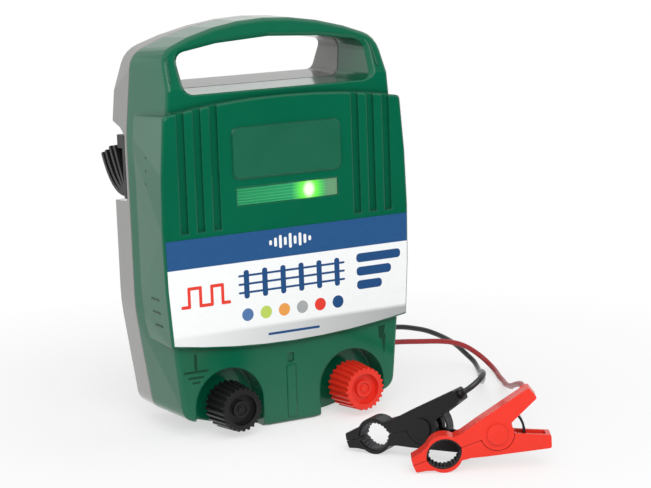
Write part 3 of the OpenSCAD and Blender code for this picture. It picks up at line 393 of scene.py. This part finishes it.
# %% Circuit board
def lacquered_board(name):
    """Lacquer over woven glass, with copper runs that show through."""
    finish, tree, shader, place = new_finish(name)
    quarter = (math.radians(90), 0, 0)
    upright = knot(tree, "ShaderNodeMapping", {"Vector": place, "Rotation": quarter}).outputs["Vector"]
    bricks = {"Vector": upright, "Scale": 42, "Mortar Size": 0.035, "Brick Width": 0.9, "Row Height": 0.22}
    runs = knot(tree, "ShaderNodeTexBrick", bricks, offset=0.37, squash=0.7).outputs["Fac"]
    threads = {"Vector": upright, "Scale": 420, "Distortion": 0.4}
    weave = knot(tree, "ShaderNodeTexWave", threads, bands_direction="DIAGONAL").outputs["Fac"]
    ground = mix(tree, weave, paint(150, 118, 66), paint(164, 132, 78))
    plug(tree, shader, {
        "Base Color": mix(tree, runs, ground, paint(188, 158, 92)),
        "Roughness": between(tree, weave, 0, 1, 0.3, 0.42),
        "Normal": bumped(tree, runs, depth=0.03, strength=0.4),
    })
    return finish


board_lacquer = lacquered_board("board_lacquer")

# %% [markdown]
# The indicator window is a clear green strip with fine level ribs and a lamp behind its right half.
# The glow is part of the finish: it is nearly white over the lamp, bright green round it, and
# fades to a dim green at the far end. The distance to the lamp, squeezed in height, drives both
# the colour and the strength. Each reach below runs from where a change begins to where it is full.

# %% Window
lamp_low, lamp_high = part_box("indicator_lamp")
lamp_place = (lamp_low + lamp_high) / 2
CORE_REACH = (4.8 * MM, 2.2 * MM)
HALO_REACH = (12.5 * MM, 5 * MM)
GLOW_REACH = (55 * MM, 10 * MM)
PAST_LAMP = (8 * MM, 14 * MM)
SQUEEZE = (1.0, 0.0, 0.8)


def lit_window(name):
    """Clear green plastic that glows round the lamp."""
    finish, tree, shader, place = new_finish(name)
    apart = on_vectors(tree, "SUBTRACT", place, lamp_place).outputs["Vector"]
    squeezed = on_vectors(tree, "MULTIPLY", apart, SQUEEZE).outputs["Vector"]
    far = on_vectors(tree, "LENGTH", squeezed).outputs["Value"]
    level = {"Vector": place, "Scale": 170, "Distortion": 1.5, "Detail": 2, "Detail Scale": 2}
    ribs = knot(tree, "ShaderNodeTexWave", level, bands_direction="Z").outputs["Fac"]
    core = between(tree, far, *CORE_REACH)
    halo = between(tree, far, *HALO_REACH)
    sideways = knot(tree, "ShaderNodeSeparateXYZ", {0: apart}).outputs["X"]
    dim = mix(tree, ribs, paint(38, 142, 90), paint(64, 168, 112))
    dim = mix(tree, between(tree, sideways, *PAST_LAMP), dim, paint(112, 152, 116))
    glow = mix(tree, halo, dim, paint(112, 232, 34))
    spread = between(tree, far, *GLOW_REACH, 0.3, 0.55)
    plug(tree, shader, {
        "Base Color": mix(tree, 0.5, dim, paint(20, 90, 60)),
        "Emission Color": mix(tree, core, glow, paint(248, 255, 224)),
        "Emission Strength": sums(tree, "ADD", sums(tree, "MULTIPLY", halo, 0.5), spread),
        "Roughness": between(tree, ribs, 0, 1, 0.12, 0.22),
        "Normal": bumped(tree, ribs, depth=0.05, strength=0.3),
    })
    return finish


window_glow = lit_window("window_glow")
print("lamp at", [round(v / MM, 1) for v in lamp_place])


# %% Lamp
def lamp_glow(name):
    """The lamp itself, brighter in the middle than at its rim."""
    finish, tree, shader, place = new_finish(name)
    rim = knot(tree, "ShaderNodeLayerWeight", {"Blend": 0.4}).outputs["Facing"]
    speck = grain(tree, place, scale=900)
    plug(tree, shader, {
        "Emission Color": mix(tree, rim, paint(235, 255, 205), paint(90, 225, 60)),
        "Emission Strength": between(tree, speck, 0.3, 0.7, 0.9, 1.1),
        "Roughness": 0.2,
    })
    return finish


lamp_lens = lamp_glow("lamp_lens")

# %% [markdown]
# The label is one printed sheet: a blue band along the top, white in the middle, and a pale grey
# strip along the lower edge that grows darker to the right. Height above the table tells the three
# apart, so one finish colours the whole sheet. A faint grain keeps the ink from looking flat.

# %% Printed label
INK_CELLS = 700
PRINT_GLOSS = 0.2
BAND_EDGE = (104.9 * MM, 105.1 * MM)
STRIP_EDGE = (65.5 * MM, 63 * MM)
STRIP_ENDS = (-75 * MM, 80 * MM)


def printed_label(name):
    """Blue band, white field and pale grey strip, by height above the table."""
    finish, tree, shader, place = new_finish(name)
    axes = knot(tree, "ShaderNodeSeparateXYZ", {0: place})
    across, height = axes.outputs["X"], axes.outputs["Z"]
    ink = grain(tree, place, INK_CELLS, detail=3)
    blue = mix(tree, ink, paint(30, 77, 128), paint(38, 87, 138))
    white = mix(tree, ink, paint(232, 235, 235), paint(241, 243, 243))
    lower_grey_strip = mix(tree, between(tree, across, *STRIP_ENDS), paint(226, 228, 228), paint(166, 169, 169))
    lower = mix(tree, between(tree, height, *STRIP_EDGE), white, lower_grey_strip)
    plug(tree, shader, {
        "Base Color": mix(tree, between(tree, height, *BAND_EDGE), lower, blue),
        "Roughness": between(tree, ink, 0.3, 0.7, 0.34, 0.46),
        "Normal": bumped(tree, ink, depth=0.01, strength=0.25),
        "Specular IOR Level": PRINT_GLOSS,
    })
    return finish


label_print = printed_label("label_print")


# %% Single inks
def printed_ink(name, colour):
    """One ink, a little thinner here and there."""
    finish, tree, shader, place = new_finish(name)
    thin = grain(tree, place, INK_CELLS, detail=3)
    plug(tree, shader, {
        "Base Color": mix(tree, thin, dimmed(colour, 0.92), colour),
        "Roughness": between(tree, thin, 0.3, 0.7, 0.36, 0.48),
        "Specular IOR Level": PRINT_GLOSS,
    })
    return finish


# %% [markdown]
# Each solid takes its finish by its name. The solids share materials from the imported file, so the
# slot of each object is set on its own mesh.

# %% Finishes of the solids
finish_of = {
    "front_cover": green_moulding, "rear_casing": grey_moulding, "casing_seal": seal_rubber,
    "casing_screws": zinc_steel, "indicator_window": window_glow, "indicator_lamp": lamp_lens,
    "front_label": label_print, "circuit_board": board_lacquer, "inner_screws": zinc_steel,
    "transformer_core": core_iron, "transformer_winding": copper_wire, "storage_capacitor": can_sleeve,
    "earth_stud": zinc_steel, "fence_stud": zinc_steel, "terminal_nuts": zinc_steel,
    "earth_washer": zinc_steel, "fence_washer": zinc_steel, "earth_knob": black_moulding,
    "fence_knob": red_moulding, "earth_insert": turned_brass, "fence_insert": turned_brass,
    "left_cleat": black_moulding, "right_cleat": black_moulding, "cleat_screws": zinc_steel,
    "switch_body": black_moulding, "switch_rocker": red_moulding, "lead_grommets": black_moulding,
    "black_lead": black_lead_skin, "red_lead": red_lead_skin,
}
for colour, skin in (("black", black_moulding), ("red", red_moulding)):
    for part in ("lower", "upper", "sleeve", "pin"):
        finish_of[f"{colour}_clip_{part}"] = skin
    for part in ("teeth_upper", "teeth_lower"):
        finish_of[f"{colour}_clip_{part}"] = dull_zinc
    finish_of[f"{colour}_clip_spring"] = spring_steel


def wear(piece, finish):
    """Give a piece one finish."""
    piece.data.materials.clear()
    piece.data.materials.append(finish)


for name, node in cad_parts.items():
    wear(node, finish_of[name])
for colour, skin in (("black", black_lead_skin), ("red", red_lead_skin)):
    wear(leads[colour][0], skin)
    wear(springs[colour], spring_steel)
print("solids with a finish:", len(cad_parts))

# %% [markdown]
# Print and small mouldings lie on faces of the casing that lean and taper. To find where such a
# face is, a ray is sent at the cover, and the piece is laid on the point that it hits, with its own
# Z along the face's normal. A ray costs one line, and the piece still sits on the face if the
# casing changes.

# %% Lay small pieces on the cover
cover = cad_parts["front_cover"]
AHEAD_OF_COVER = -80
LEFT_OF_COVER = -120
print("cover in mm:", [round(v / MM, 1) for v in cover.dimensions])


def resting(start, heading, tilt):
    """Where a ray from start, in millimetres, meets the cover: a matrix with Z out of the face."""
    found, place, normal, _ = cover.ray_cast(Vector(start) * MM, Vector(heading))
    if not found:
        raise ValueError(f"no face of the cover from {start}")
    facing = normal.to_track_quat("Z", "Y").to_matrix().to_4x4()
    return Matrix.Translation(place) @ facing @ Matrix.Rotation(math.radians(tilt), 4, "Z")


def on_front(x, z, tilt=0.0):
    """A seat on the front of the cover, turned by tilt degrees."""
    return resting((x, AHEAD_OF_COVER, z), (0, 1, 0), tilt)


def on_left(y, z):
    """A seat on the left wall of the cover."""
    return resting((LEFT_OF_COVER, y, z), (1, 0, 0), 0)


# %% Shapes of small pieces
def bar(form, seat, width, height, corner):
    """A flat bar with rounded corners in the plane of seat, sizes in millimetres."""
    sized = seat @ Matrix.Diagonal((width * MM, height * MM, 1, 1))
    made = bmesh.ops.create_grid(form, x_segments=1, y_segments=1, size=0.5, matrix=sized)
    bmesh.ops.bevel(form, geom=made["verts"], offset=corner * MM, offset_type="OFFSET", segments=5,
                    profile=0.5, affect="VERTICES", material=-1)


def disc(form, seat, radius):
    """A flat disc in the plane of seat, its radius in millimetres."""
    bmesh.ops.create_circle(form, cap_ends=True, segments=40, radius=radius * MM, matrix=seat)


def add_piece(name, form, growth, finish):
    """Grow flat faces along a vector in millimetres, and add them on the body of the energizer."""
    grown = bmesh.ops.extrude_face_region(form, geom=form.faces[:])
    moved = [g for g in grown["geom"] if isinstance(g, bmesh.types.BMVert)]
    bmesh.ops.translate(form, vec=Vector(growth) * MM, verts=moved)
    bmesh.ops.recalc_face_normals(form, faces=form.faces)
    loose = sum(len(e.link_faces) != 2 for e in form.edges)
    mesh = bpy.data.meshes.new(name)
    form.to_mesh(mesh)
    form.free()
    piece = bpy.data.objects.new(name, mesh)
    scene.collection.objects.link(piece)
    wear(piece, finish)
    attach(piece, "energizer")
    print(name, "faces:", len(mesh.polygons), "open edges:", loose)


# %% [markdown]
# The label carries a plain design: a row of fence posts with three wires, a pulse line, and chips
# of colour. Each ink is one thin piece that stands 0.03 mm proud of the sheet, as a printed layer
# does, so its edges stay sharp at any distance. Where two bars of one ink cross, the second stands
# twice as proud, so that no two faces share a plane.

# %% Print on the label
label_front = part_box("front_label")[0].y / MM
PROUD = 0.03
INK_BODY = (0, 0.08, 0)
FIRST_POST = -31
POST_PITCH = 12.6


def on_label(x, z, proud=PROUD):
    """A seat on the label's face, that far proud of it."""
    place = Vector((x, label_front - proud, z)) * MM
    return Matrix.Translation(place) @ Matrix.Rotation(math.radians(90), 4, "X")


inks = {
    "dark_blue": paint(30, 76, 128), "mid_blue": paint(82, 118, 168), "white": paint(238, 240, 240),
    "red": paint(228, 62, 48), "orange": paint(232, 158, 78), "lime": paint(186, 210, 96),
    "grey": paint(164, 168, 168),
}
prints = {name: bmesh.new() for name in inks}
print("front of the label at mm:", round(label_front, 2))

# %% Posts and wires
for k in range(6):
    bar(prints["dark_blue"], on_label(FIRST_POST + POST_PITCH * k, 91.2), 3.6, 17.5, 1.6)
for z in (86.2, 91.4, 96.6):
    bar(prints["dark_blue"], on_label(0.5, z, 2 * PROUD), 74, 1.3, 0.6)
print("posts and wires:", len(prints["dark_blue"].faces))

# %% Pulse line
for x, z, width in ((-72, 82, 6.4), (-66, 93, 9.6), (-58.4, 82, 9.6), (-51, 93, 9.2), (-45.2, 82, 6.4)):
    bar(prints["red"], on_label(x, z), width, 2, 0.8)
for x in (-69.8, -62.2, -54.6, -47.4):
    bar(prints["red"], on_label(x, 87.5, 2 * PROUD), 2, 13, 0.8)
print("strokes of the pulse line:", len(prints["red"].faces))

# %% Chips, bars and the row of strokes on the band
for k, ink in enumerate(("mid_blue", "lime", "orange", "grey", "red", "dark_blue")):
    disc(prints[ink], on_label(FIRST_POST + POST_PITCH * k, 72.5), 3.9)
for z, width in ((98, 32), (89.5, 25), (81, 18)):
    bar(prints["dark_blue"], on_label(46 + width / 2, z), width, 5.6, 2.4)
bar(prints["dark_blue"], on_label(0.5, 58.6), 36, 1.5, 0.7)
for k, height in enumerate((3, 5.5, 8, 5, 9, 5, 8, 5.5, 3)):
    bar(prints["white"], on_label(-13.6 + 3.4 * k, 114.6), 1.9, height, 0.8)
print("strokes on the band:", len(prints["white"].faces))

# %% Add the inks
for name, form in prints.items():
    add_piece("label_" + name, form, INK_BODY, printed_ink("ink_" + name, inks[name]))

# %% [markdown]
# Signs for earth and for the live fence are cut into the front beside their terminals. A cut so
# narrow is nearly always in its own shade, so thin bars and a bolt in a deep green stand for it. A
# shallow strip runs from the small recess down to the base. The raised plate above the window has
# a matt grain from the mould, which a sheet 0.05 mm thick lays over its face.

# %% Earth sign
SIGN_BODY = (0, -0.12, 0)


def stroke(form, x0, z0, x1, z1, width):
    """A bar from one point to another on the lower front."""
    length = math.hypot(x1 - x0, z1 - z0)
    turn = math.degrees(math.atan2(z1 - z0, x1 - x0))
    bar(form, on_front((x0 + x1) / 2, (z0 + z1) / 2, turn), length, width, 0.3)


earth_sign = bmesh.new()
stroke(earth_sign, -65.2, 51.8, -65.2, 42, width=1.7)
stroke(earth_sign, -73.2, 41, -57.2, 41, width=1.3)
stroke(earth_sign, -70.4, 37.4, -60.2, 37.4, width=1.1)
stroke(earth_sign, -67.8, 34.3, -62.6, 34.3, width=1)
add_piece("earth_sign", earth_sign, SIGN_BODY, shade_green)

# %% Fence sign
fence_sign = bmesh.new()
bolt = ((63.3, 52), (68.1, 52.2), (67, 46.7), (68.4, 46.5), (67, 34.4), (65.5, 43.9), (63.6, 44.3))
corners = [fence_sign.verts.new(on_front(x, z).translation) for x, z in bolt]
bmesh.ops.contextual_create(fence_sign, geom=corners)
add_piece("fence_sign", fence_sign, SIGN_BODY, shade_green)

# %% Strip and plate
strip = bmesh.new()
bar(strip, on_front(0, 20), 6.7, 33, corner=0.3)
add_piece("front_strip", strip, (0, -0.3, 0), green_moulding)

plate = bmesh.new()
bar(plate, on_front(0, 170.75), 73.2, 29.7, corner=3.6)
add_piece("plate_grain", plate, (0, -0.05, 0), matt_green)

# %% [markdown]
# The left wall has three pin marks and three narrow slots, and each post of the handle has a fine
# upright rib. A pin mark is a dark disc, and a slot a dark bar, both painted shade of a hollow; a
# thin raised lip under each slot catches the light.

# %% Marks on the side
MARK_BODY = (-0.08, 0, 0)
SLOT_WIDTH = 10.5
LIP_DROP = 0.8

pins = bmesh.new()
for y, z in ((-15.7, 170.9), (-15.2, 162.8), (-14.8, 155)):
    disc(pins, on_left(y, z), 0.8)
slots = bmesh.new()
lips = bmesh.new()
for y, z in ((-19.4, 86.4), (-19.5, 78.3), (-21, 70.3)):
    bar(slots, on_left(y, z), SLOT_WIDTH, 0.9, corner=0.4)
    bar(lips, on_left(y, z - LIP_DROP), SLOT_WIDTH, 0.6, corner=0.25)
add_piece("side_pin_marks", pins, MARK_BODY, shade_green)
add_piece("side_slots", slots, MARK_BODY, shade_green)
add_piece("side_slot_lips", lips, (-0.3, 0, 0), green_moulding)

# %% Ribs on the handle
ribs = bmesh.new()
for x, z, tilt in ((-72.2, 222.5, -4.7), (68.6, 222.4, 4.8)):
    bar(ribs, on_front(x, z, tilt), 1.2, 15.5, corner=0.55)
add_piece("post_ribs", ribs, (0, -0.45, 0.2), green_moulding)

# %% [markdown]
# The table is one large pale sheet. For the camera it is partly matt white, which takes the shadow,
# and partly plain white light, which takes over further out, so no horizon shows. Reflections find
# the light alone. It grows dim in front of the object, as a studio is dim behind the camera, so the
# colours of glossy faces stay deep. The world does the same, and lights everything else softly.

# %% White of the studio
STUDIO_DIM = 0.03
WHITE = (1, 1, 1, 1)


def mirror_ray(tree, path):
    """1 for a ray that was mirrored or let through, and 0 for others."""
    return sums(tree, "MAXIMUM", path.outputs["Is Glossy Ray"], path.outputs["Is Transmission Ray"])


def studio_level(tree, path, place, dark_y, bright_y):
    """How white a ray finds the studio: 1 for the camera, and dim in front for what is mirrored."""
    forward = knot(tree, "ShaderNodeSeparateXYZ", {0: place}).outputs["Y"]
    ahead = between(tree, forward, dark_y, bright_y, STUDIO_DIM, 1.0)
    mirrored = sums(tree, "MULTIPLY", mirror_ray(tree, path), ahead)
    return sums(tree, "MAXIMUM", path.outputs["Is Camera Ray"], mirrored)


# %% Finish of the table
NEAR_AND_FAR = (140 * MM, 420 * MM)
NEAR_SHARE = 0.58


def table_finish(name):
    """Matt white under a share of white light, which is whole far from the object."""
    finish, tree, shader, place = new_finish(name)
    tree.nodes.remove(shader)
    speck = grain(tree, place, scale=300, detail=3)
    pale = mix(tree, speck, paint(248, 248, 248), paint(253, 253, 253))
    matt = knot(tree, "ShaderNodeBsdfDiffuse", {"Color": pale}).outputs["BSDF"]
    path = knot(tree, "ShaderNodeLightPath")
    level = studio_level(tree, path, place, dark_y=-0.5, bright_y=-0.05)
    light = knot(tree, "ShaderNodeEmission", {"Color": WHITE, "Strength": level}).outputs["Emission"]
    far = on_vectors(tree, "LENGTH", place).outputs["Value"]
    share = between(tree, far, *NEAR_AND_FAR, NEAR_SHARE, 1.0)
    share = sums(tree, "MULTIPLY", path.outputs["Is Camera Ray"], share)
    share = sums(tree, "MAXIMUM", share, mirror_ray(tree, path))
    both = knot(tree, "ShaderNodeMixShader", {0: share, 1: matt, 2: light}).outputs["Shader"]
    plug(tree, tree.nodes["Material Output"], {"Surface": both})
    return finish


# %% World
def white_world(strength):
    """White where it is seen, dimmer in front where it is mirrored, and that strength as light."""
    world = bpy.data.worlds.new("studio")
    world.use_nodes = True
    tree = world.node_tree
    path = knot(tree, "ShaderNodeLightPath")
    heading = knot(tree, "ShaderNodeTexCoord").outputs["Generated"]
    level = studio_level(tree, path, heading, dark_y=-0.75, bright_y=-0.2)
    spread = sums(tree, "MULTIPLY", path.outputs["Is Diffuse Ray"], strength)
    level = sums(tree, "MAXIMUM", level, spread)
    plug(tree, tree.nodes["Background"], {"Color": WHITE, "Strength": level})
    scene.world = world
    print("world:", world.name, "strength as light:", strength)


white_world(strength=0.6)

# %% Lay the table
TABLE_HALF = 4
TABLE_DROP = 0.2 * MM

form = bmesh.new()
bmesh.ops.create_grid(form, x_segments=8, y_segments=8, size=TABLE_HALF)
bmesh.ops.translate(form, vec=(0, 0, -TABLE_DROP), verts=form.verts)
sheet = bpy.data.meshes.new("table")
form.to_mesh(sheet)
form.free()
table = bpy.data.objects.new("table", sheet)
scene.collection.objects.link(table)
wear(table, table_finish("table_white"))
print("table side in m:", 2 * TABLE_HALF)

# %% [markdown]
# Two soft boxes light the object: a large one above and in front, and one on the left and behind,
# which draws the pale sheen along the side wall. Their size keeps the shadow soft.

# %% Soft boxes
LIT_POINT = (0, 0, 0.1)


def soft_box(name, place, size, power):
    """A square area light that points at the object."""
    data = bpy.data.lights.new(name, "AREA")
    data.shape = "SQUARE"
    data.size = size
    data.energy = power
    lamp = bpy.data.objects.new(name, data)
    scene.collection.objects.link(lamp)
    lamp.location = place
    lamp.rotation_euler = (Vector(LIT_POINT) - Vector(place)).to_track_quat("-Z", "Y").to_euler()
    print(name, "at", place, "power", power)


soft_box("front_box", (-0.5, -1.4, 1.1), size=1.4, power=20.5)
soft_box("left_box", (-1.1, 0.9, 0.3), size=1.2, power=2)
